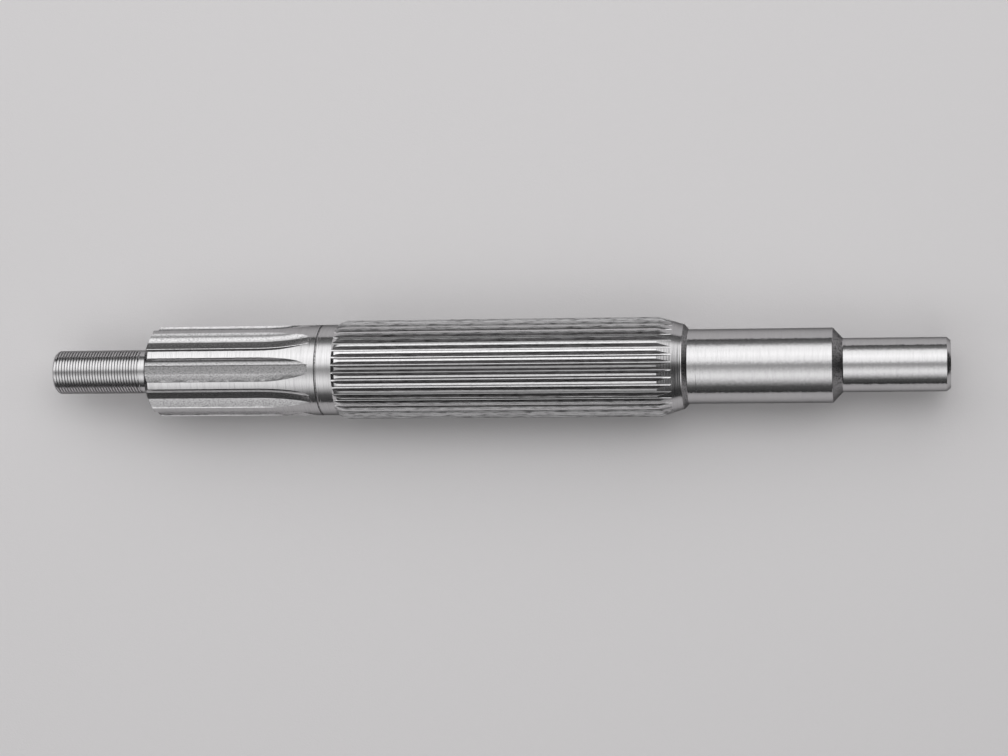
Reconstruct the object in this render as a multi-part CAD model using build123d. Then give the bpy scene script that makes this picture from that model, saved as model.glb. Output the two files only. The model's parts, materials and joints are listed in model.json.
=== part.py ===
from build123d import *

import os
from math import acos, cos, degrees, pi, radians, sin, sqrt, tan

# A splined shaft, turned and ground from one bar of steel. It lies along X, with its
# origin on the centre line where the bearing journal begins. From left to right it has
# a stub for a locking thread, a coarse spline of milled grooves, a turned collar, a fine
# serration, a conical shoulder, the bearing journal and the pin. Sizes are millimetres.

# Bearing journal and pin
JOURNAL_DIAMETER = 25.0
JOURNAL_LENGTH = 47.7
JOURNAL_ROOT_FILLET = 0.35
PIN_DIAMETER = 18.0
PIN_LENGTH = 35.1
PIN_CONE_LENGTH = 3.3
PIN_ROOT_FILLET = 0.8
PIN_CHAMFER_LENGTH = 1.3
PIN_CHAMFER_DEPTH = 1.0

# Conical shoulder, between the serration and the journal
SHOULDER_DIAMETER = 28.6
SHOULDER_STEP_LENGTH = 1.6
SHOULDER_CONE_LENGTH = 8.0

# Fine serration: straight teeth that rise from the collar on rounded left ends, with
# gaps whose floors lie a little below the collar and run out just short of it
SERRATION_LENGTH = 110.0
SERRATION_TOOTH_COUNT = 38
TOOTH_RISE_OVER_COLLAR = 1.25
TOOTH_CREST_WIDTH = 0.8
TOOTH_END_RADIUS = 5.8
GAP_DEPTH_BELOW_COLLAR = 0.23
GAP_FLOOR_WIDTH = 0.6
GAP_RUNOUT_START = 2.0
GAP_RUNOUT_RADIUS = 8.0

# Turned collar and coarse spline, which share one outside diameter
COLLAR_DIAMETER = 31.0
COLLAR_LENGTH = 5.6
NECK_GROOVE_WIDTH = 0.75
NECK_GROOVE_DEPTH = 0.3
SPLINE_LENGTH = 60.7
SPLINE_CHAMFER_LENGTH = 2.2
SPLINE_CHAMFER_DEPTH = 3.6
SPLINE_GROOVE_COUNT = 9
GROOVE_FLOOR_WIDTH = 3.35
GROOVE_DEPTH = 2.35
GROOVE_FLANK_LEAN = 47.0
GROOVE_FLANK_RADIUS = 9.0
GROOVE_FLANK_TURN = 35.0
GROOVE_FULL_DEPTH_LENGTH = 39.2
GROOVE_CUTTER_RADIUS = 75.0

# Stub for the locking thread, at the thread's outside diameter
STUB_DIAMETER = 15.0
STUB_LENGTH = 34.4
STUB_CHAMFER = 1.0

# Centre hole in each end, between which the shaft is turned and ground
CENTRE_MOUTH_DIAMETER = 5.3
CENTRE_PILOT_DIAMETER = 2.5
CENTRE_CONE_DEPTH = 2.4
CENTRE_HOLE_DEPTH = 5.5
CENTRE_DRILL_POINT_ANGLE = 118.0

# How far a cutter stands clear of the surface that it leaves
CLEAR = 2.0

step_left = -SHOULDER_STEP_LENGTH
cone_left = step_left - SHOULDER_CONE_LENGTH
serration_left = cone_left - SERRATION_LENGTH
collar_left = serration_left - COLLAR_LENGTH
spline_left = collar_left - SPLINE_LENGTH
stub_left = spline_left - STUB_LENGTH
pin_left = JOURNAL_LENGTH + PIN_CONE_LENGTH
pin_right = pin_left + PIN_LENGTH

collar_radius = COLLAR_DIAMETER / 2
serration_radius = collar_radius + TOOTH_RISE_OVER_COLLAR


def turned_blank():
    """The shaft before its teeth are cut: half of its outline, turned about X."""
    stub_radius = STUB_DIAMETER / 2
    journal_radius = JOURNAL_DIAMETER / 2
    pin_radius = PIN_DIAMETER / 2
    neck_radius = collar_radius - NECK_GROOVE_DEPTH
    neck_left = collar_left - NECK_GROOVE_WIDTH / 2
    neck_right = collar_left + NECK_GROOVE_WIDTH / 2

    # The tooth ends rise from the collar on an arc that runs tangent into the crests.
    rise = TOOTH_RISE_OVER_COLLAR
    crest_left = serration_left + sqrt(rise * (2 * TOOTH_END_RADIUS - rise))

    with BuildSketch() as section:
        with BuildLine():
            Polyline(
                (stub_left, 0),
                (stub_left, stub_radius - STUB_CHAMFER),
                (stub_left + STUB_CHAMFER, stub_radius),
                (spline_left, stub_radius),
                (spline_left, collar_radius - SPLINE_CHAMFER_DEPTH),
                (spline_left + SPLINE_CHAMFER_LENGTH, collar_radius),
                (neck_left, collar_radius),
                (neck_left, neck_radius),
                (neck_right, neck_radius),
                (neck_right, collar_radius),
                (serration_left, collar_radius),
            )
            TangentArc(
                (crest_left, serration_radius),
                (serration_left, collar_radius),
                tangent=(-1, 0),
            )
            Polyline(
                (crest_left, serration_radius),
                (cone_left, serration_radius),
                (step_left, SHOULDER_DIAMETER / 2),
                (0, journal_radius),
                (JOURNAL_LENGTH, journal_radius),
                (pin_left, pin_radius),
                (pin_right - PIN_CHAMFER_LENGTH, pin_radius),
                (pin_right, pin_radius - PIN_CHAMFER_DEPTH),
                (pin_right, 0),
                (stub_left, 0),
            )
        make_face()
        corners = section.vertices()
        fillet(corners.sort_by_distance((0, journal_radius))[0], JOURNAL_ROOT_FILLET)
        fillet(corners.sort_by_distance((pin_left, pin_radius))[0], PIN_ROOT_FILLET)
    return revolve(section.sketch, axis=Axis.X)


def angle_to_leave(depth, radius):
    """The turn, in degrees, over which a cutter rises from a depth to clear of the surface."""
    return degrees(acos(1 - (depth + CLEAR) / radius))


def spline_groove():
    """One groove of the coarse spline, at the top: milled straight, then run out."""
    half_floor = GROOVE_FLOOR_WIDTH / 2
    floor_radius = collar_radius - GROOVE_DEPTH
    top = serration_radius + CLEAR
    with BuildSketch() as section:
        with BuildLine():
            lean = (sin(radians(GROOVE_FLANK_LEAN)), cos(radians(GROOVE_FLANK_LEAN)))
            floor = Line((0, floor_radius), (half_floor, floor_radius))
            flank = JernArc(floor @ 1, lean, GROOVE_FLANK_RADIUS, -GROOVE_FLANK_TURN)
            Polyline(flank @ 1, ((flank @ 1).X, top), (0, top), floor @ 0)
        make_face()
        mirror(about=Plane.YZ)

    full_depth_end = spline_left + GROOVE_FULL_DEPTH_LENGTH
    start = Plane.YZ.offset(spline_left - CLEAR) * section.sketch
    end = Plane.YZ.offset(full_depth_end) * section.sketch
    cutter_axis = Axis(
        (full_depth_end, 0, floor_radius + GROOVE_CUTTER_RADIUS),
        (0, -1, 0),
    )
    straight = extrude(start, full_depth_end - spline_left + CLEAR)
    runout = revolve(
        end,
        axis=cutter_axis,
        revolution_arc=angle_to_leave(GROOVE_DEPTH, GROOVE_CUTTER_RADIUS),
    )
    return straight + runout


def tooth_gap():
    """One gap of the fine serration, at the top: its floor fades out into the collar."""
    floor_radius = collar_radius - GAP_DEPTH_BELOW_COLLAR
    half_floor = GAP_FLOOR_WIDTH / 2
    half_pitch_angle = pi / SERRATION_TOOTH_COUNT
    half_mouth_angle = half_pitch_angle - TOOTH_CREST_WIDTH / 2 / serration_radius
    half_mouth = serration_radius * sin(half_mouth_angle)
    mouth_height = serration_radius * cos(half_mouth_angle)
    flare = (half_mouth - half_floor) / (mouth_height - floor_radius)
    top = serration_radius + CLEAR
    half_top = half_floor + flare * (top - floor_radius)
    with BuildSketch() as section:
        with BuildLine():
            Polyline(
                (-half_floor, floor_radius),
                (half_floor, floor_radius),
                (half_top, top),
                (-half_top, top),
                (-half_floor, floor_radius),
            )
        make_face()

    runout_start = serration_left + GAP_RUNOUT_START
    start = Plane.YZ.offset(runout_start) * section.sketch
    cutter_axis = Axis(
        (runout_start, 0, floor_radius + GAP_RUNOUT_RADIUS),
        (0, 1, 0),
    )
    straight = extrude(start, -runout_start)
    runout = revolve(
        start,
        axis=cutter_axis,
        revolution_arc=angle_to_leave(GAP_DEPTH_BELOW_COLLAR, GAP_RUNOUT_RADIUS),
    )
    return straight + runout


def centre_hole():
    """A centre hole that opens at X = 0 and runs in along +X."""
    mouth_radius = CENTRE_MOUTH_DIAMETER / 2
    pilot_radius = CENTRE_PILOT_DIAMETER / 2
    point_length = pilot_radius / tan(radians(CENTRE_DRILL_POINT_ANGLE / 2))
    with BuildSketch() as section:
        with BuildLine():
            Polyline(
                (0, 0),
                (0, mouth_radius),
                (CENTRE_CONE_DEPTH, pilot_radius),
                (CENTRE_HOLE_DEPTH, pilot_radius),
                (CENTRE_HOLE_DEPTH + point_length, 0),
                (0, 0),
            )
        make_face()
    return revolve(section.sketch, axis=Axis.X)


def round_the_shaft(cutter, count, first_angle):
    """Copies of a cutter, evenly spaced round X from first_angle, in degrees."""
    return [Rot(X=first_angle + 360 * i / count) * cutter for i in range(count)]


# A groove of the coarse spline and a tooth of the serration share the line at the top.
shaft = turned_blank()
shaft -= round_the_shaft(spline_groove(), SPLINE_GROOVE_COUNT, 0)
shaft -= round_the_shaft(tooth_gap(), SERRATION_TOOTH_COUNT, 180 / SERRATION_TOOTH_COUNT)
shaft -= Pos(X=stub_left) * centre_hole()
shaft -= Pos(X=pin_right) * Rot(Z=180) * centre_hole()

os.makedirs("parts", exist_ok=True)
export_step(shaft, "parts/splined_shaft.step")
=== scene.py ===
"""The looks of a splined shaft: its machined surfaces, its thread and the studio round it.

The shaft lies along X, with its origin on the centre line where the bearing journal begins.
"""

import json
from math import acos, atan2, cos, hypot, pi, radians, sin, sqrt, tan
from types import SimpleNamespace

import bmesh
import bpy
from mathutils import Matrix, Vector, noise


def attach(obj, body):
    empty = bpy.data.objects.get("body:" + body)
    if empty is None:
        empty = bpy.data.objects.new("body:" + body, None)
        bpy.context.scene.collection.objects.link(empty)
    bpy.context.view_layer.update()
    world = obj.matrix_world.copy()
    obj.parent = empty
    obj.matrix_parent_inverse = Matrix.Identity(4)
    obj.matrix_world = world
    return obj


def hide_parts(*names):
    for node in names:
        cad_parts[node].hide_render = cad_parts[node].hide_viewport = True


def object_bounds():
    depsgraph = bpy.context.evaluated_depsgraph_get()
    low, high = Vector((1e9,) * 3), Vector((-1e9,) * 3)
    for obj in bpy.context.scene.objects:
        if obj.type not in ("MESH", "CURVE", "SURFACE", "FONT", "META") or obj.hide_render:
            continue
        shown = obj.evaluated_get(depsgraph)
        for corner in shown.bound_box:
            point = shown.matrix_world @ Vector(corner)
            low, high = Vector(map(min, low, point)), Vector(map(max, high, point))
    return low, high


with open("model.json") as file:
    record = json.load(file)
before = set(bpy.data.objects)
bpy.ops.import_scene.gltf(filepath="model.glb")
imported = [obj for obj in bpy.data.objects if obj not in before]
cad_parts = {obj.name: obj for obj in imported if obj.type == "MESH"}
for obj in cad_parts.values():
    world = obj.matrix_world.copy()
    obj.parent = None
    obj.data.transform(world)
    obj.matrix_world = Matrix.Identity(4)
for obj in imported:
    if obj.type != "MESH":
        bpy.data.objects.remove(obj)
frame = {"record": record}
CAD_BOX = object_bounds()
MOUNTS = {mount["name"]: mount for mount in frame["record"]["mounts"]}

bl_info = {
    "name": "Splined Shaft",
    "version": (1, 0, 0),
    "blender": (4, 5, 0),
    "location": "3D View > Sidebar > Shaft",
    "description": "Machines a splined shaft from bar and sets it on a studio floor",
    "category": "Add Mesh",
}

MM = 0.001

# How far a cutter starts and ends clear of the steel.
CLEAR = 0.3 * MM
# Corners nearer than this to each other are one corner.
WELD = 0.001 * MM

# Facets round the shaft: a whole number for each of the 38 teeth and each of the 9 grooves.
FACETS = 342
# Facets in one turn of the thread.
THREAD_FACETS = 72
# Turns of the thread that are wound before the stub and past it, and then clipped off.
SPARE_TURNS_BEFORE, SPARE_TURNS_PAST = 2, 1

# The angle of a centre drill's point.
DRILL_POINT = radians(118)
# How long a stretch of a groove's edge wanders to one side.
WAVER_LENGTH = 0.9 * MM
# Between the fine teeth, a face is a flank where the cosine between its normal and the way
# straight out is less than this. The others are crests and floors.
FLANK_COSINE = 0.72

# Material slots of the shaft, in the order that its faces refer to.
# The last slot is darker steel: painted shade on recesses and on faces turned from the light.
GROUND, TURNED, MILLED, ROLLED, SHADE_PAINTED = range(5)

# The tent's light: a soft panel on each side, and a dim gap at the top where the camera looks
# in. Each place is an angle in degrees from upright towards the back, and its brightness.
TENT_LEVELS = (
    (-88.0, 0.05),
    (-70.0, 0.1),
    (-30.0, 1.2),
    (0.0, 0.45),
    (20.0, 1.4),
    (35.0, 1.6),
    (55.0, 1.4),
    (75.0, 0.2),
    (88.0, 0.1),
)


def length(label, about, millimetres):
    """A length that a user can set, given in millimetres and kept in metres."""
    return bpy.props.FloatProperty(
        name=label,
        description=about,
        default=millimetres * MM,
        unit="LENGTH",
        subtype="DISTANCE",
        precision=5,
    )


def slope(label, about, degrees):
    """An angle that a user can set, given in degrees and kept in radians."""
    return bpy.props.FloatProperty(
        name=label, description=about, default=radians(degrees), subtype="ANGLE"
    )


def colour(label, about, hex_code):
    """A colour that a user can set, given as an sRGB hex code."""
    return bpy.props.FloatVectorProperty(
        name=label,
        description=about,
        default=linear(hex_code),
        size=4,
        min=0.0,
        max=1.0,
        subtype="COLOR",
    )


def linear(hex_code):
    """The linear RGBA of an sRGB hex code such as C4C3C4."""
    channels = [int(hex_code[i : i + 2], 16) / 255 for i in (0, 2, 4)]
    curve = [c / 12.92 if c <= 0.04045 else ((c + 0.055) / 1.055) ** 2.4 for c in channels]
    return (*curve, 1.0)


class BlankSizes(bpy.types.PropertyGroup):
    """Sizes of the bar as it is turned and ground, before any teeth are cut"""

    journal_radius: length(
        "Journal radius", "Seat of the bearing", MOUNTS["bearing_journal"]["dims"]["r_mm"]
    )
    journal_length: length("Journal length", "From the shoulder to the 45 degree cone", 47.7)
    journal_fillet: length("Journal fillet", "Rounding at the foot of the shoulder", 0.35)
    pin_radius: length("Pin radius", "The pin at the right end", MOUNTS["end_pin"]["dims"]["r_mm"])
    pin_cone: length("Pin cone", "Length of the 45 degree cone", 3.3)
    pin_fillet: length("Pin fillet", "Rounding between the cone and the pin", 0.8)
    pin_chamfer_length: length("Pin chamfer length", "Along the shaft", 1.3)
    pin_chamfer_depth: length("Pin chamfer depth", "In towards the centre", 1.0)
    shoulder_radius: length("Shoulder radius", "Rim of the conical shoulder", 14.3)
    shoulder_step: length("Shoulder step", "Length of the step down to the journal", 1.6)
    rim_land: length("Rim land", "Narrow polished land round the shoulder's rim", 0.3)
    witness_place: length("Witness line", "Fine ring on the journal, from its left end", 3.0)
    witness_depth: length("Witness depth", "Depth of a fine ring", 0.03)
    left_ring: length("Left ring", "Fine ring to the left of the neck groove", 2.2)
    right_ring: length("Right ring", "Fine ring to the right of the neck groove", 1.1)
    shoulder_cone: length("Shoulder cone", "Length of the cone through the teeth", 8.0)
    collar_radius: length("Collar radius", "Collar and lands of the coarse spline", 15.5)
    collar_length: length("Collar length", "From the neck groove to the fine teeth", 5.6)
    neck_width: length("Neck groove width", "Narrow groove round the collar", 0.6)
    neck_depth: length("Neck groove depth", "Narrow groove round the collar", 0.3)
    spline_length: length("Spline length", "From the left face to the neck groove", 60.7)
    chamfer_length: length("Face chamfer length", "On the coarse spline's left face", 2.2)
    chamfer_depth: length("Face chamfer depth", "In towards the centre", 3.6)
    edge_break: length("Edge break", "How far a turned corner is broken with a file", 0.12)
    centre_mouth: length("Centre hole mouth", "Radius at the end face", 2.65)
    centre_pilot: length("Centre hole pilot", "Radius of the drilled hole", 1.25)
    centre_cone: length("Centre hole cone", "Depth of the 60 degree cone", 2.4)
    centre_depth: length("Centre hole depth", "Depth to the drill's shoulder", 5.5)


class CoarseSplineSizes(bpy.types.PropertyGroup):
    """Sizes of the milled grooves"""

    grooves: bpy.props.IntProperty(name="Grooves", description="How many", default=9, min=1)
    depth: length("Depth", "From the lands down to the floor", 2.35)
    floor_dish: length("Floor dish", "How far the floor sags between its corners", 0.04)
    back_foot: length("Back foot", "From the middle of the floor to its back corner", 1.7)
    front_foot: length("Front foot", "From the middle of the floor to its front corner", 1.6)
    back_mouth: length("Back mouth", "From the middle of the groove to its back land", 4.2)
    front_mouth: length("Front mouth", "From the middle of the groove to its front land", 4.1)
    back_slope: slope("Back slope", "Of the back flank, where it leaves the floor", 8)
    front_slope: slope("Front slope", "Of the front flank, where it leaves the floor", 32)
    full_depth_length: length("Full depth", "Length before the floor starts to rise", 39.4)
    cutter_radius: length("Cutter radius", "Radius that the floor rises on", 75.0)
    waver: length("Waver", "How far a groove's worn edges wander", 0.08)
    lip_width: length("Lip width", "Steep lip that the cutter leaves at a groove's mouth", 0.15)
    lip_depth: length("Lip depth", "Steep lip that the cutter leaves at a groove's mouth", 0.25)
    corner_width: length("Corner width", "Fine line cut along each corner of the floor", 0.3)
    corner_depth: length("Corner depth", "Fine line cut along the floor's back corner", 0.18)


class SerrationSizes(bpy.types.PropertyGroup):
    """Sizes of the fine teeth"""

    teeth: bpy.props.IntProperty(name="Teeth", description="How many", default=38, min=3)
    serration_length: length("Length", "From the collar to the conical shoulder", 110.0)
    crest_width: length("Crest width", "Land on top of a tooth", 0.74)
    floor_width: length("Floor width", "Flat floor between two teeth", 0.48)
    floor_depth: length("Floor depth", "How far the floor lies below the collar", 0.23)
    end_radius: length("End radius", "Curve on which a tooth rises from the collar", 5.8)
    runout_start: length("Run-out start", "From the teeth's feet to where the floor rises", 2.0)
    runout_radius: length("Run-out radius", "Radius that the floor rises on", 8.0)
    edge_round: length("Edge rounding", "Rounding along a tooth's edges", 0.12)


class ThreadSizes(bpy.types.PropertyGroup):
    """Sizes of the locking thread"""

    major_radius: length(
        "Major radius", "Over the crests", MOUNTS["locking_thread"]["dims"]["r_mm"]
    )
    pitch: length("Pitch", "From one turn to the next", 1.0)
    depth: length("Depth", "From crest to root", 0.5)
    crest_width: length("Crest width", "Flat on top of the thread", 0.4)
    root_width: length("Root width", "Flat at the bottom of the thread", 0.2)
    threaded_length: length("Threaded length", "From the end to the plain neck", 31.4)
    runout_length: length("Run-out length", "Over which the thread gets shallow", 1.6)
    neck_radius: length("Neck radius", "Plain neck beside the coarse spline", 7.4)
    chamfer: length("Chamfer", "45 degree chamfer on the end", 1.0)


class SteelLooks(bpy.types.PropertyGroup):
    """Colours and finishes of the bare steel"""

    bright: colour("Bright steel", "Ground and turned faces", "C9C8C9")
    milled: colour("Milled steel", "Floors and flanks of the grooves", "C4C3C4")
    edge_tint: colour("Edge tint", "How steel reflects at a glancing angle", "9A9A9A")
    grinding_line: length("Grinding line", "Width of the lines that are drawn for grinding", 0.5)
    turning_feed: length("Turning feed", "Distance between two turned rings", 0.4)
    tearing: length("Tearing", "Size of the marks that a blunt cutter leaves", 0.5)


class StudioSizes(bpy.types.PropertyGroup):
    """The floor, the light tent and the camera above the shaft"""

    floor_colour: colour("Floor colour", "Matt pale grey board", "D2D0D1")
    backdrop_colour: colour("Backdrop colour", "What a low camera sees past the floor", "CCCACB")
    floor_size: length("Floor size", "Side of the square board", 6000.0)
    floor_grain: length("Floor grain", "Width of the grain in the board", 0.5)
    floor_relief: length("Floor relief", "Depth of the grain in the board", 0.1)
    room_size: length("Room size", "Side of the room, more than the floor's", 6600.0)
    room_colour: colour("Room colour", "The dark room beyond the tent", "333333")
    tent_radius: length("Tent radius", "From the shaft to the cloth", 1100.0)
    tent_left_end: length("Tent left end", "Along the shaft, from its origin", -1900.0)
    tent_right: length("Tent right edge", "Along the shaft, from its origin", 1500.0)
    tent_back_end: length("Back light end", "Where the back of the tent goes dark", 610.0)
    tent_front_end: length("Front light end", "Where the front of the tent goes dark", 480.0)
    tent_fade: length("Light fade", "Half the length over which the light ends", 150.0)
    tent_ridge: slope("Tent ridge", "Half the angle between the two light ends", 15)
    tent_rest: bpy.props.FloatProperty(
        name="Tent rest", description="What is left of the light past its end", default=0.03
    )
    fill_along: length("Fill position", "Middle of the fill lamp, along the shaft", 500.0)
    fill_back: length("Fill offset", "Middle of the fill lamp, towards the back", 300.0)
    fill_height: length("Fill height", "Middle of the fill lamp, above the shaft", 900.0)
    fill_length: length("Fill length", "Size of the fill lamp along the shaft", 1300.0)
    fill_width: length("Fill width", "Size of the fill lamp across the shaft", 500.0)
    fill_level: bpy.props.FloatProperty(
        name="Fill level", description="Brightness of the fill lamp", default=1.6, min=0.0
    )
    camera_height: length("Camera height", "Above the shaft's centre line", 820.0)
    camera_along: length("Camera position", "Along the shaft, from its origin", 68.0)
    camera_front: length("Camera offset", "Towards the front of the shaft", 17.2)
    camera_tilt: slope("Camera tilt", "Towards the back of the shaft", 0.96)
    camera_turn: slope("Camera turn", "Towards the middle of the shaft", 9.07)
    camera_roll: slope("Camera roll", "About the line of sight", -0.36)
    camera_lens: bpy.props.FloatProperty(
        name="Camera lens", description="Focal length in millimetres", default=87.5, unit="CAMERA"
    )


# ---------------------------------------------------------------- helpers for meshes


def add_mesh(name, shape, finishes=()):
    """Makes an object of a finished bmesh, with the finishes in its material slots."""
    data = bpy.data.meshes.new(name)
    shape.to_mesh(data)
    shape.free()
    for finish in finishes:
        data.materials.append(finish)
    piece = bpy.data.objects.new(name, data)
    bpy.context.scene.collection.objects.link(piece)
    return piece


def smooth_between_edges(data, angle=radians(14)):
    """Shades a mesh smooth, and sharp where it turns by more than the angle."""
    for face in data.polygons:
        face.use_smooth = True
    data.set_sharp_from_angle(angle=angle)


def arc(centre, radius, first, last, steps):
    """Points on an arc between two angles, both ends included."""
    turns = [first + (last - first) * i / steps for i in range(steps + 1)]
    return [(centre[0] + radius * cos(a), centre[1] + radius * sin(a)) for a in turns]


def close_holes(shape):
    """Caps every open rim of a shape and turns its faces outwards."""
    rims = [edge for edge in shape.edges if edge.is_boundary]
    if rims:
        bmesh.ops.holes_fill(shape, edges=rims, sides=0)
    bmesh.ops.recalc_face_normals(shape, faces=shape.faces)


def turned(outline, facets):
    """A solid of revolution about X from an outline of (x, radius) points."""
    shape = bmesh.new()
    corners = [shape.verts.new((x, 0.0, radius)) for x, radius in outline]
    edges = [shape.edges.new(pair) for pair in zip(corners, corners[1:])]
    bmesh.ops.spin(
        shape,
        geom=corners + edges,
        cent=(0, 0, 0),
        axis=(1, 0, 0),
        angle=2 * pi,
        steps=facets,
        use_merge=True,
    )
    bmesh.ops.remove_doubles(shape, verts=shape.verts, dist=WELD)
    close_holes(shape)
    return shape


def milling_cut(shape, section, start, full_end, radius, floor, leave, steps, finish, rings=1):
    """Adds what a disc cutter takes away: straight at full depth, then out on its radius.

    section holds (y, z) points, floor is the height of its floor, and leave is the turn
    over which the cutter rises, in steps. The straight part has as many rings as given. A
    cut that runs to the left has full_end < start.
    """
    along = 1 if full_end > start else -1
    rim = [shape.verts.new((start, y, z)) for y, z in section]
    face = shape.faces.new(rim)
    face.material_index = finish
    straight = bmesh.ops.extrude_face_region(shape, geom=[face])["geom"]
    far = [item for item in straight if isinstance(item, bmesh.types.BMVert)]
    bmesh.ops.translate(shape, verts=far, vec=(full_end - start, 0, 0))
    bmesh.ops.spin(
        shape,
        geom=straight,
        cent=(full_end, 0, floor + radius),
        axis=(0, -along, 0),
        angle=leave,
        steps=steps,
    )
    if rings > 1:
        # No other edges are nearly as long as the straight part.
        nearly = 0.9 * abs(full_end - start)
        rails = [e for e in shape.edges if abs(e.verts[0].co.x - e.verts[1].co.x) > nearly]
        bmesh.ops.subdivide_edges(shape, edges=rails, cuts=rings - 1, use_grid_fill=True)


def copies_round(shape, count, first_angle):
    """Turns a shape to a first angle about X and repeats it evenly round the shaft."""
    centre = (0, 0, 0)
    turn = Matrix.Rotation(first_angle, 3, "X")
    bmesh.ops.rotate(shape, verts=shape.verts, cent=centre, matrix=turn)
    bmesh.ops.spin(
        shape,
        geom=shape.verts[:] + shape.edges[:] + shape.faces[:],
        cent=centre,
        axis=(1, 0, 0),
        angle=2 * pi * (count - 1) / count,
        steps=count - 1,
        use_duplicate=True,
    )


def waver(shape, reach, inside):
    """Shifts the outer corners of a cutter by a smooth noise, so that it leaves uneven edges."""
    for corner in shape.verts:
        if hypot(corner.co.y, corner.co.z) > inside:
            corner.co += reach * noise.noise_vector(corner.co / WAVER_LENGTH)


def cut_away(piece, shape):
    """Takes a closed shape away from a piece. The cut faces keep the shape's finish."""
    bmesh.ops.recalc_face_normals(shape, faces=shape.faces)
    tool = add_mesh("tool", shape, piece.data.materials)
    cut = piece.modifiers.new("cut", "BOOLEAN")
    cut.operation = "DIFFERENCE"
    cut.solver = "EXACT"
    cut.object = tool
    result = bpy.data.meshes.new_from_object(
        piece.evaluated_get(bpy.context.evaluated_depsgraph_get())
    )
    if len(result.polygons) in (0, len(piece.data.polygons)):
        raise RuntimeError(f"The cutter took nothing or everything from {piece.name}")
    piece.modifiers.clear()
    before, piece.data = piece.data, result
    result.name = piece.name
    bpy.data.meshes.remove(before)
    bpy.data.meshes.remove(tool.data)


# ---------------------------------------------------------------- the shaft's body


def stations(blank, serration):
    """The places along X where one part of the shaft ends and the next begins.

    neck is half the width of the groove in the collar, whose middle is at collar.
    """
    step = -blank.shoulder_step
    cone = step - blank.shoulder_cone
    serrated = cone - serration.serration_length
    collar = serrated - blank.collar_length
    return SimpleNamespace(
        step=step,
        cone=cone,
        serrated=serrated,
        collar=collar,
        spline=collar - blank.spline_length,
        journal_end=blank.journal_length,
        pin=blank.journal_length + blank.pin_cone,
        end=CAD_BOX[1].x,
        neck=blank.neck_width / 2,
    )


def foot_fillet(x, level, radius, slope):
    """The rounding where a cone that falls at a slope runs into a cylinder at x."""
    centre = (x + radius * tan(slope / 2), level + radius)
    return arc(centre, radius, 3 * pi / 2 - slope, 3 * pi / 2, steps=5)


def fine_ring(x, level, blank):
    """A fine ring that a tool left on a cylinder at x."""
    return [
        (x - blank.edge_break, level),
        (x, level - blank.witness_depth),
        (x + blank.edge_break, level),
    ]


def blank_outline(blank, serration, at):
    """The (x, radius) outline of the shaft as turned, from the spline's face to the pin."""
    collar = blank.collar_radius
    journal = blank.journal_radius
    pin = blank.pin_radius
    crest = CAD_BOX[1].z
    rise = crest - collar
    edge = blank.edge_break
    foot_angle = acos(1 - rise / serration.end_radius)
    foot_length = serration.end_radius * sin(foot_angle)
    tooth_end = arc(
        (at.serrated + foot_length, crest - serration.end_radius),
        serration.end_radius,
        pi / 2 + foot_angle,
        pi / 2,
        steps=8,
    )
    step_slope = atan2(blank.shoulder_radius - journal, blank.shoulder_step)
    cone_slope = atan2(journal - pin, blank.pin_cone)
    drilled = blank.centre_depth + blank.centre_pilot / tan(DRILL_POINT / 2)
    return [
        (at.spline, 0),
        (at.spline, collar - blank.chamfer_depth),
        (at.spline + blank.chamfer_length, collar),
        *fine_ring(at.collar - blank.left_ring, collar, blank),
        (at.collar - blank.neck_width / 2 - edge, collar),
        (at.collar - blank.neck_width / 2, collar - edge / 2),
        (at.collar - blank.neck_width / 2 + edge / 2, collar - blank.neck_depth),
        (at.collar + blank.neck_width / 2 - edge / 2, collar - blank.neck_depth),
        (at.collar + blank.neck_width / 2, collar - edge / 2),
        (at.collar + blank.neck_width / 2 + edge, collar),
        *fine_ring(at.collar + blank.right_ring, collar, blank),
        *tooth_end,
        (at.cone, crest),
        (at.step - blank.rim_land, blank.shoulder_radius),
        (at.step, blank.shoulder_radius),
        *foot_fillet(0, journal, blank.journal_fillet, step_slope),
        *fine_ring(blank.witness_place, journal, blank),
        (blank.journal_length - edge / 2, journal),
        (blank.journal_length + edge / 2, journal - edge / 2),
        *foot_fillet(at.pin, pin, blank.pin_fillet, cone_slope),
        (at.end - blank.pin_chamfer_length, pin),
        (at.end - edge / 2, pin - blank.pin_chamfer_depth),
        (at.end, pin - blank.pin_chamfer_depth - edge / 2),
        (at.end, blank.centre_mouth),
        (at.end - blank.centre_cone, blank.centre_pilot),
        (at.end - blank.centre_depth, blank.centre_pilot),
        (at.end - drilled, 0),
    ]


def flank(foot, mouth, first_slope, steps, lip):
    """A curved flank that climbs from a foot to a mouth, both (y, z).

    It ends in a steep lip of (width, depth), which runs on past the mouth, clear of the steel.
    """
    mouth = (mouth[0] - lip[0], mouth[1] - lip[1])
    run, rise = mouth[0] - foot[0], mouth[1] - foot[1]
    last_slope = 2 * atan2(rise, run) - first_slope
    radius = run / (sin(last_slope) - sin(first_slope))
    turns = [first_slope + (last_slope - first_slope) * i / steps for i in range(steps + 1)]
    curve = [
        (
            foot[0] + radius * (sin(a) - sin(first_slope)),
            foot[1] + radius * (cos(first_slope) - cos(a)),
        )
        for a in turns
    ]
    past = (CAD_BOX[1].z - mouth[1]) / lip[1]
    return [*curve, (mouth[0] + past * lip[0], CAD_BOX[1].z)]


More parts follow.
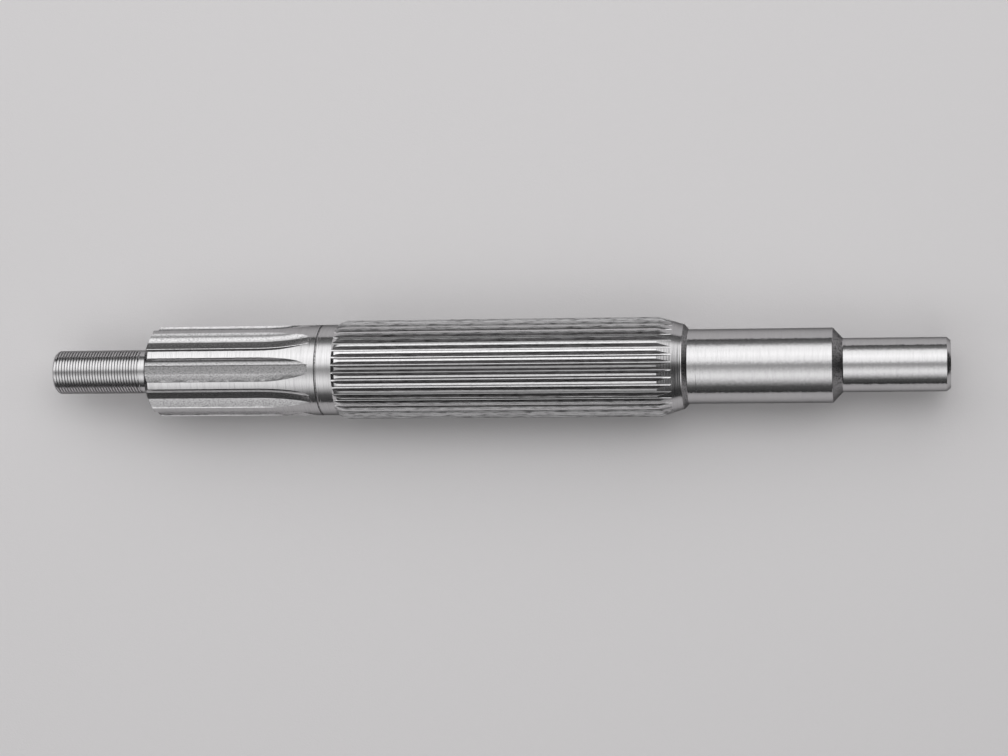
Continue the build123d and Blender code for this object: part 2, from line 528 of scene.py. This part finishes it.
def groove_section(coarse, blank):
    """One coarse groove, from its front top round the floor to its back top: (y, z) points."""
    collar = blank.collar_radius
    floor = collar - coarse.depth
    lip = (coarse.lip_width, coarse.lip_depth)

    def side(foot, mouth, first_slope, steps):
        """One side of the groove, as if it were the back one."""
        top = (mouth, sqrt(collar**2 - mouth**2))
        return flank((foot, floor), top, first_slope, steps, lip)

    back_flank = side(coarse.back_foot, coarse.back_mouth, coarse.back_slope, steps=8)
    front_flank = side(coarse.front_foot, coarse.front_mouth, coarse.front_slope, steps=6)
    middle = (coarse.back_foot - coarse.front_foot) / 2
    half = (coarse.back_foot + coarse.front_foot) / 2
    dish = [
        (middle + half * t, floor - coarse.floor_dish * (1 - t**2))
        for t in (-0.8, -0.4, 0.0, 0.4, 0.8)
    ]
    # The cutter's back corner is the sharper one, and cuts its line twice as deep.
    corner_back = (coarse.back_foot - coarse.corner_width / 2, floor - coarse.corner_depth)
    corner_front = (coarse.corner_width / 2 - coarse.front_foot, floor - coarse.corner_depth / 2)
    floor_line = [corner_front, *dish, corner_back]
    section = [(-y, z) for y, z in reversed(front_flank)] + floor_line + back_flank
    return section, floor


def gap_section(serration, blank):
    """One gap between two fine teeth, with rounded edges: (y, z) points."""
    crest = CAD_BOX[1].z
    floor = blank.collar_radius - serration.floor_depth
    half_floor = serration.floor_width / 2
    half_angle = pi / serration.teeth - serration.crest_width / 2 / crest
    mouth = (crest * sin(half_angle), crest * cos(half_angle))
    run, rise = mouth[0] - half_floor, mouth[1] - floor
    slant = hypot(run, rise)
    lean = (run / slant, rise / slant)
    near = serration.edge_round
    # The last point leads the cut clear of the steel, past the rounded edge of the crest.
    right = [
        (half_floor - near, floor),
        (half_floor + lean[0] * near, floor + lean[1] * near),
        (mouth[0] - lean[0] * near, mouth[1] - lean[1] * near),
        (mouth[0] + near * 0.7, mouth[1] + near * 0.3),
        (mouth[0] + near * 1.5, mouth[1] + near * 2.5),
    ]
    return right + [(-y, z) for y, z in reversed(right)], floor


def rise_angle(depth, radius):
    """The turn over which a disc cutter of a radius rises by a depth."""
    return acos(1 - depth / radius)


def finish_at(x, at):
    """The finish of a face of the blank. The neck groove, the step down to the journal and the
    pin's cone get the darker steel of painted shade.
    """
    if abs(x - at.collar) < at.neck:
        return SHADE_PAINTED
    if x < at.serrated:
        return TURNED
    if x < at.cone:
        return ROLLED
    if x < at.step:
        return TURNED
    if x < 0 or at.journal_end < x < at.pin:
        return SHADE_PAINTED
    return GROUND


def paint_shade_on_flanks(data, at):
    """Paints shade on the flanks between the fine teeth, which face sideways, by giving them the
    darker steel.
    """
    for face in data.polygons:
        if face.material_index == ROLLED and face.center.x < at.cone:
            out = hypot(face.center.y, face.center.z)
            facing = (face.center.y * face.normal.y + face.center.z * face.normal.z) / out
            # Flanks that face sideways get painted shade.
            if facing < FLANK_COSINE:
                face.material_index = SHADE_PAINTED


def make_body(settings):
    """The shaft from the coarse spline to the pin: turned, then milled, then rolled."""
    blank, coarse, serration = settings.blank, settings.coarse, settings.serration
    at = stations(blank, serration)
    shape = turned(blank_outline(blank, serration, at), FACETS)
    for face in shape.faces:
        face.material_index = finish_at(face.calc_center_median().x, at)
    body = add_mesh("shaft_body", shape, steel_finishes(settings.steel))

    section, floor = groove_section(coarse, blank)
    grooves = bmesh.new()
    milling_cut(
        grooves,
        section,
        start=at.spline - CLEAR,
        full_end=at.spline + coarse.full_depth_length,
        radius=coarse.cutter_radius,
        floor=floor,
        leave=rise_angle(coarse.depth + CLEAR, coarse.cutter_radius),
        steps=28,
        finish=MILLED,
        rings=48,
    )
    copies_round(grooves, coarse.grooves, 0)
    waver(grooves, coarse.waver, blank.collar_radius - coarse.depth / 4)
    cut_away(body, grooves)

    section, floor = gap_section(serration, blank)
    gaps = bmesh.new()
    milling_cut(
        gaps,
        section,
        start=0,
        full_end=at.serrated + serration.runout_start,
        radius=serration.runout_radius,
        floor=floor,
        leave=rise_angle(serration.floor_depth + CLEAR, serration.runout_radius),
        steps=6,
        finish=ROLLED,
    )
    copies_round(gaps, serration.teeth, pi / serration.teeth)
    cut_away(body, gaps)
    paint_shade_on_flanks(body.data, at)
    smooth_between_edges(body.data)
    return body


# ---------------------------------------------------------------- the thread


def wound_thread(thread, start, turns):
    """One thread profile, wound round X from start, with a pitch's advance in each turn."""
    crest, root = thread.major_radius, thread.major_radius - thread.depth
    flank = (thread.pitch - thread.crest_width - thread.root_width) / 2
    profile = [
        (0, crest),
        (thread.crest_width, crest),
        (thread.crest_width + flank / 2, (crest + root) / 2),
        (thread.crest_width + flank, root),
        (thread.crest_width + flank + thread.root_width, root),
        (thread.pitch - flank / 2, (crest + root) / 2),
        (thread.pitch, crest),
    ]
    shape = bmesh.new()
    corners = [shape.verts.new((start + x, 0, radius)) for x, radius in profile]
    edges = [shape.edges.new(pair) for pair in zip(corners, corners[1:])]
    bmesh.ops.spin(
        shape,
        geom=corners + edges,
        cent=(0, 0, 0),
        axis=(1, 0, 0),
        dvec=(thread.pitch / THREAD_FACETS, 0, 0),
        angle=2 * pi * turns,
        steps=THREAD_FACETS * turns,
    )
    bmesh.ops.remove_doubles(shape, verts=shape.verts, dist=WELD)
    return shape


def clip_thread(shape, thread, end):
    """Brings a thread's radius within its chamfer, its run-out and its plain neck."""
    root = thread.major_radius - thread.depth
    runout_start = end + thread.threaded_length - thread.runout_length
    for corner in shape.verts:
        radius = hypot(corner.co.y, corner.co.z)
        gone = min(max((corner.co.x - runout_start) / thread.runout_length, 0.0), 1.0)
        low = root + (thread.neck_radius - root) * gone
        high = thread.major_radius + (thread.neck_radius - thread.major_radius) * gone
        high = min(high, thread.major_radius - thread.chamfer + max(corner.co.x - end, 0))
        clipped = min(max(radius, low), high)
        corner.co.y *= clipped / radius
        corner.co.z *= clipped / radius


def cut_off(shape, x, side):
    """Cuts a shape off square at x, and drops what lies beyond on a side, -1 or 1."""
    bmesh.ops.bisect_plane(
        shape,
        geom=shape.verts[:] + shape.edges[:] + shape.faces[:],
        plane_co=(x, 0, 0),
        plane_no=(side, 0, 0),
        clear_outer=True,
    )


def add_end_face(shape, blank, end):
    """Draws the open left rim in to an end face with a centre hole."""
    rim = [e for e in shape.edges if e.is_boundary and e.verts[0].co.x < end + 10 * WELD]
    for x, radius in (
        (end, blank.centre_mouth),
        (end + blank.centre_cone, blank.centre_pilot),
        (end + blank.centre_depth, blank.centre_pilot),
    ):
        ring = bmesh.ops.extrude_edge_only(shape, edges=rim)["geom"]
        corners = {item for item in ring if isinstance(item, bmesh.types.BMVert)}
        rim = [
            item
            for item in ring
            if isinstance(item, bmesh.types.BMEdge) and corners.issuperset(item.verts)
        ]
        for corner in corners:
            out = hypot(corner.co.y, corner.co.z)
            corner.co = (x, corner.co.y / out * radius, corner.co.z / out * radius)


def make_thread(settings):
    """The threaded stub, from its end face to just inside the coarse spline's left face."""
    thread, blank = settings.thread, settings.blank
    end = CAD_BOX[0].x
    face = stations(blank, settings.serration).spline
    turns = round((face - end) / thread.pitch) + SPARE_TURNS_BEFORE + SPARE_TURNS_PAST
    shape = wound_thread(thread, end - SPARE_TURNS_BEFORE * thread.pitch, turns)
    clip_thread(shape, thread, end)
    cut_off(shape, end, -1)
    cut_off(shape, face + thread.pitch / 2, 1)
    bmesh.ops.remove_doubles(shape, verts=shape.verts, dist=WELD)
    add_end_face(shape, blank, end)
    close_holes(shape)
    stub = add_mesh("locking_thread", shape, [turned_steel(settings.steel, "threaded_steel")])
    smooth_between_edges(stub.data, angle=radians(25))
    return stub


# ---------------------------------------------------------------- finishes


def add(tree, kind, inputs=(), **settings):
    """Adds a shader node. Each of its inputs gets a value, or a socket to read."""
    node = tree.nodes.new("ShaderNode" + kind)
    for name, value in settings.items():
        setattr(node, name, value)
    for name, value in dict(inputs).items():
        if isinstance(value, bpy.types.NodeSocket):
            tree.links.new(value, node.inputs[name])
        else:
            node.inputs[name].default_value = value
    return node


def new_material(name):
    """A node material that has no nodes yet, and its tree."""
    material = bpy.data.materials.new(name)
    material.use_nodes = True
    tree = material.node_tree
    tree.nodes.clear()
    return material, tree


def finish_material(tree, shader):
    """Links a shader to the material's output."""
    add(tree, "OutputMaterial", {"Surface": shader.outputs[0]})


def marks_of(tree, along, around, detail=2.0):
    """Noise for marks that are as wide as given along the shaft and around it."""
    place = add(tree, "TexCoord")
    stretched = add(
        tree,
        "Mapping",
        {"Vector": place.outputs["Object"], "Scale": (1 / along, 1 / around, 1 / around)},
    )
    return add(
        tree,
        "TexNoise",
        {"Vector": stretched.outputs[0], "Scale": 1.0, "Detail": detail, "Roughness": 0.6},
    ).outputs["Fac"]


def steel_shader(tree, looks, marks, specks, roughness, relief, dark, bright):
    """Bare steel, whose marks roughen and dent it, and whose specks are dark where low."""
    spread = add(
        tree, "MapRange", {"Value": marks, "To Min": roughness[0], "To Max": roughness[1]}
    )
    dents = add(tree, "Bump", {"Height": marks, "Strength": 1.0, "Distance": relief})
    shade = add(tree, "MapRange", {"Value": specks, "From Min": 0.3, "From Max": 0.55})
    tone = add(
        tree,
        "Mix",
        {"Factor": shade.outputs["Result"], 6: dark, 7: bright},
        data_type="RGBA",
    )
    return add(
        tree,
        "BsdfPrincipled",
        {
            "Base Color": tone.outputs[2],
            "Metallic": 1.0,
            "Roughness": spread.outputs["Result"],
            "Specular Tint": looks.edge_tint,
            "Normal": dents.outputs["Normal"],
        },
    )


def ground_steel(looks):
    """Hardened steel, cylindrically ground: bright, with fine lines round the shaft that
    make the edges of its reflections ragged. They are drawn coarser than a wheel's own
    lines, which would not show."""
    material, tree = new_material("ground_steel")
    line = looks.grinding_line
    shader = steel_shader(
        tree,
        looks,
        marks=marks_of(tree, along=line * 1.4, around=line * 4, detail=3.0),
        specks=marks_of(tree, along=line * 0.8, around=line * 12),
        roughness=(0.07, 0.18),
        relief=0.06 * MM,
        dark=linear("C3C2C3"),
        bright=looks.bright,
    )
    finish_material(tree, shader)
    return material


def turned_steel(looks, name="turned_steel"):
    """Steel as the lathe leaves it: bright, with rings that are coarser than ground ones.
    They are drawn coarser than a fine feed, which would not show."""
    material, tree = new_material(name)
    feed = looks.turning_feed
    shader = steel_shader(
        tree,
        looks,
        marks=marks_of(tree, along=feed, around=feed * 30),
        specks=marks_of(tree, along=feed * 0.8, around=feed * 24, detail=4.0),
        roughness=(0.1, 0.2),
        relief=0.02 * MM,
        dark=linear("BAB9BA"),
        bright=looks.bright,
    )
    finish_material(tree, shader)
    return material


def milled_steel(looks):
    """Steel cut with a form cutter that was getting blunt: greyer than the lands, torn and
    mottled, with a little old oil in the pits."""
    material, tree = new_material("milled_steel")
    tear = looks.tearing
    shader = steel_shader(
        tree,
        looks,
        marks=marks_of(tree, along=tear * 1.6, around=tear, detail=4.0),
        specks=marks_of(tree, along=tear * 1.3, around=tear * 0.8, detail=3.0),
        roughness=(0.1, 0.26),
        relief=0.013 * MM,
        dark=linear("A09FA0"),
        bright=looks.milled,
    )
    finish_material(tree, shader)
    return material


def rolled_steel(looks):
    """Steel teeth formed between rolls: burnished, brighter than any cut face, with small
    dull nicks along them."""
    material, tree = new_material("rolled_steel")
    tear = looks.tearing
    shader = steel_shader(
        tree,
        looks,
        marks=marks_of(tree, along=tear * 6, around=tear * 0.8, detail=4.0),
        specks=marks_of(tree, along=tear * 2, around=tear * 0.6, detail=3.0),
        roughness=(0.06, 0.16),
        relief=0.006 * MM,
        dark=linear("BEBDBE"),
        bright=linear("DAD9DA"),
    )
    finish_material(tree, shader)
    return material


def shade_painted_steel(looks):
    """Steel darkened as painted shade, for recesses and for faces turned from the light,
    in patches that run along the shaft."""
    material, tree = new_material("shade_painted_steel")
    tear = looks.tearing
    # Painted shade: both tones lie far below the bright steel's.
    shader = steel_shader(
        tree,
        looks,
        marks=marks_of(tree, along=tear * 4, around=tear * 0.6, detail=3.0),
        specks=marks_of(tree, along=tear * 8, around=tear),
        roughness=(0.2, 0.4),
        relief=0.008 * MM,
        dark=linear("5A595A"),
        bright=linear("A09FA0"),
    )
    finish_material(tree, shader)
    return material


def steel_finishes(looks):
    """The finishes of the shaft's body, in the order of its material slots."""
    makers = (ground_steel, turned_steel, milled_steel, rolled_steel, shade_painted_steel)
    return [make(looks) for make in makers]


# ---------------------------------------------------------------- the stage


def make_floor(studio):
    """A board under the shaft, painted matt and pale, with a faint grain in the paint."""
    shape = bmesh.new()
    bmesh.ops.create_grid(shape, x_segments=1, y_segments=1, size=studio.floor_size / 2)
    bmesh.ops.translate(shape, verts=shape.verts, vec=(0, 0, CAD_BOX[0].z))
    material, tree = new_material("matt_board")
    place = add(tree, "TexCoord")
    grain = add(
        tree,
        "TexNoise",
        {"Vector": place.outputs["Object"], "Scale": 1 / studio.floor_grain, "Detail": 2.0},
    )
    bump = add(
        tree,
        "Bump",
        {"Height": grain.outputs["Fac"], "Strength": 0.5, "Distance": studio.floor_relief},
    )
    shader = add(
        tree,
        "BsdfPrincipled",
        {
            "Base Color": studio.floor_colour,
            "Roughness": 0.9,
            "Specular IOR Level": 0.2,
            "Normal": bump.outputs["Normal"],
        },
    )
    finish_material(tree, shader)
    floor = add_mesh("floor", shape, [material])
    return floor


def make_room(studio):
    """The dark room beyond the light tent, which only shows in the steel."""
    shape = bmesh.new()
    bmesh.ops.create_cube(shape, size=studio.room_size)
    bmesh.ops.reverse_faces(shape, faces=shape.faces)
    material, tree = new_material("dark_room")
    glow = add(tree, "Emission", {"Color": studio.room_colour, "Strength": 1.0})
    finish_material(tree, glow)
    room = add_mesh("room", shape, [material])
    room.visible_camera = False
    return room


def tent_levels(tree, angle, brightest):
    """How bright the tent is at each angle round the shaft, next to its brightest."""
    first, last = radians(TENT_LEVELS[0][0]), radians(TENT_LEVELS[-1][0])
    around = add(tree, "MapRange", {"Value": angle, "From Min": first, "From Max": last})
    ramp = add(tree, "ValToRGB", {"Fac": around.outputs["Result"]})
    ramp.color_ramp.interpolation = "EASE"
    stops = ramp.color_ramp.elements
    while len(stops) < len(TENT_LEVELS):
        stops.new(0.5)
    for stop, (degrees, level) in zip(stops, TENT_LEVELS):
        stop.position = (radians(degrees) - first) / (last - first)
        stop.color = (level / brightest,) * 3 + (1.0,)
    return ramp.outputs["Color"]


def tent_end(tree, along, angle, brightest, studio):
    """The light's fade to the right, which the front and the back of the tent each have at
    their own place along the shaft."""
    place = add(
        tree,
        "MapRange",
        {
            "Value": angle,
            "From Min": -studio.tent_ridge,
            "From Max": studio.tent_ridge,
            "To Min": studio.tent_front_end,
            "To Max": studio.tent_back_end,
        },
    )
    beyond = add(tree, "Math", {0: along, 1: place.outputs["Result"]}, operation="SUBTRACT")
    return add(
        tree,
        "MapRange",
        {
            "Value": beyond.outputs[0],
            "From Min": -studio.tent_fade,
            "From Max": studio.tent_fade,
            "To Min": brightest,
            "To Max": studio.tent_rest,
        },
        interpolation_type="SMOOTHSTEP",
    ).outputs["Result"]


def tent_cloth(studio):
    """White cloth, lit from outside: it glows by how much lamp light comes through it."""
    material, tree = new_material("tent_cloth")
    place = add(tree, "SeparateXYZ", {0: add(tree, "TexCoord").outputs["Object"]})
    angle = add(
        tree,
        "Math",
        {0: place.outputs["Y"], 1: place.outputs["Z"]},
        operation="ARCTAN2",
    ).outputs[0]
    brightest = max(level for _, level in TENT_LEVELS)
    glow = add(
        tree,
        "Emission",
        {
            "Color": tent_levels(tree, angle, brightest),
            "Strength": tent_end(tree, place.outputs["X"], angle, brightest, studio),
        },
    )
    finish_material(tree, glow)
    return material


def make_tent(studio):
    """A tent of white cloth over the shaft, lit from outside: one arch, swept along X."""
    shape = bmesh.new()
    first, last = radians(TENT_LEVELS[0][0]), radians(TENT_LEVELS[-1][0])
    low = (sin(first) * studio.tent_radius, cos(first) * studio.tent_radius)
    ends = (studio.tent_left_end, studio.tent_right)
    corners = [shape.verts.new((x, *low)) for x in ends]
    rail = shape.edges.new(corners)
    bmesh.ops.spin(
        shape,
        geom=corners + [rail],
        cent=(0, 0, 0),
        axis=(-1, 0, 0),
        angle=last - first,
        steps=36,
    )
    tent = add_mesh("tent", shape, [tent_cloth(studio)])
    tent.visible_camera = False
    tent.visible_shadow = False
    return tent


def make_fill(studio):
    """A wide lamp that evens the light on the floor, and does not show in the steel."""
    light = bpy.data.lights.new("fill", "AREA")
    light.shape = "RECTANGLE"
    light.size, light.size_y = studio.fill_length, studio.fill_width
    light.energy = studio.fill_level * pi * light.size * light.size_y
    lamp = bpy.data.objects.new("fill", light)
    lamp.location = (studio.fill_along, studio.fill_back, studio.fill_height)
    lamp.rotation_euler = (-atan2(studio.fill_back, studio.fill_height), 0, 0)
    lamp.visible_camera = False
    lamp.visible_glossy = False
    bpy.context.scene.collection.objects.link(lamp)


def make_world(studio):
    """A pale backdrop past the floor, whose light the room keeps off the shaft."""
    world = bpy.data.worlds.new("studio")
    bpy.context.scene.world = world
    world.use_nodes = True
    tree = world.node_tree
    tree.nodes.clear()
    backdrop = add(tree, "Background", {"Color": studio.backdrop_colour, "Strength": 1.0})
    add(tree, "OutputWorld", {"Surface": backdrop.outputs[0]})


def make_camera(studio):
    """A long lens straight above the pin end, turned to look at the middle of the shaft."""
    camera = bpy.data.cameras.new("camera")
    camera.lens = studio.camera_lens
    camera.sensor_width = 36.0
    camera.clip_end = 20.0
    holder = bpy.data.objects.new("camera", camera)
    bpy.context.scene.collection.objects.link(holder)
    holder.rotation_mode = "ZXY"
    holder.rotation_euler = (studio.camera_tilt, studio.camera_turn, studio.camera_roll)
    holder.location = (studio.camera_along, -studio.camera_front, studio.camera_height)
    bpy.context.scene.camera = holder


# ---------------------------------------------------------------- add-on


class ShaftSettings(bpy.types.PropertyGroup):
    """Everything that can be set"""

    blank: bpy.props.PointerProperty(type=BlankSizes)
    coarse: bpy.props.PointerProperty(type=CoarseSplineSizes)
    serration: bpy.props.PointerProperty(type=SerrationSizes)
    thread: bpy.props.PointerProperty(type=ThreadSizes)
    steel: bpy.props.PointerProperty(type=SteelLooks)
    studio: bpy.props.PointerProperty(type=StudioSizes)


class SHAFT_OT_body(bpy.types.Operator):
    """Turn the blank, mill the coarse spline and roll the fine serration"""

    bl_idname = "shaft.body"
    bl_label = "Make Shaft Body"

    def execute(self, context):
        body = make_body(context.scene.shaft)
        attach(body, "root")
        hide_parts("splined_shaft")
        return {"FINISHED"}


class SHAFT_OT_thread(bpy.types.Operator):
    """Cut the locking thread on the stub at the left end"""

    bl_idname = "shaft.thread"
    bl_label = "Make Locking Thread"

    def execute(self, context):
        stub = make_thread(context.scene.shaft)
        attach(stub, "root")
        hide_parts("splined_shaft")
        return {"FINISHED"}


class SHAFT_OT_stage(bpy.types.Operator):
    """Set the floor, the light tent, the fill lamp, the backdrop and the camera"""

    bl_idname = "shaft.stage"
    bl_label = "Set the Stage"

    def execute(self, context):
        studio = context.scene.shaft.studio
        make_floor(studio)
        make_room(studio)
        make_tent(studio)
        make_fill(studio)
        make_world(studio)
        make_camera(studio)
        context.scene.view_settings.view_transform = "Standard"
        return {"FINISHED"}


class SHAFT_PT_panel(bpy.types.Panel):
    """The shaft's operators, in the order in which they are used"""

    bl_idname = "SHAFT_PT_panel"
    bl_label = "Splined Shaft"
    bl_space_type = "VIEW_3D"
    bl_region_type = "UI"
    bl_category = "Shaft"

    def draw(self, context):
        for operator in OPERATORS:
            self.layout.operator(operator.bl_idname)


OPERATORS = (SHAFT_OT_body, SHAFT_OT_thread, SHAFT_OT_stage)
CLASSES = (
    BlankSizes,
    CoarseSplineSizes,
    SerrationSizes,
    ThreadSizes,
    SteelLooks,
    StudioSizes,
    ShaftSettings,
    *OPERATORS,
    SHAFT_PT_panel,
)


def register():
    for item in CLASSES:
        bpy.utils.register_class(item)
    bpy.types.Scene.shaft = bpy.props.PointerProperty(type=ShaftSettings)


def unregister():
    del bpy.types.Scene.shaft
    for item in reversed(CLASSES):
        bpy.utils.unregister_class(item)


def main():
    """Makes every piece in order."""
    register()
    bpy.ops.shaft.body()
    bpy.ops.shaft.thread()
    bpy.ops.shaft.stage()


if __name__ == "__main__":
    main()
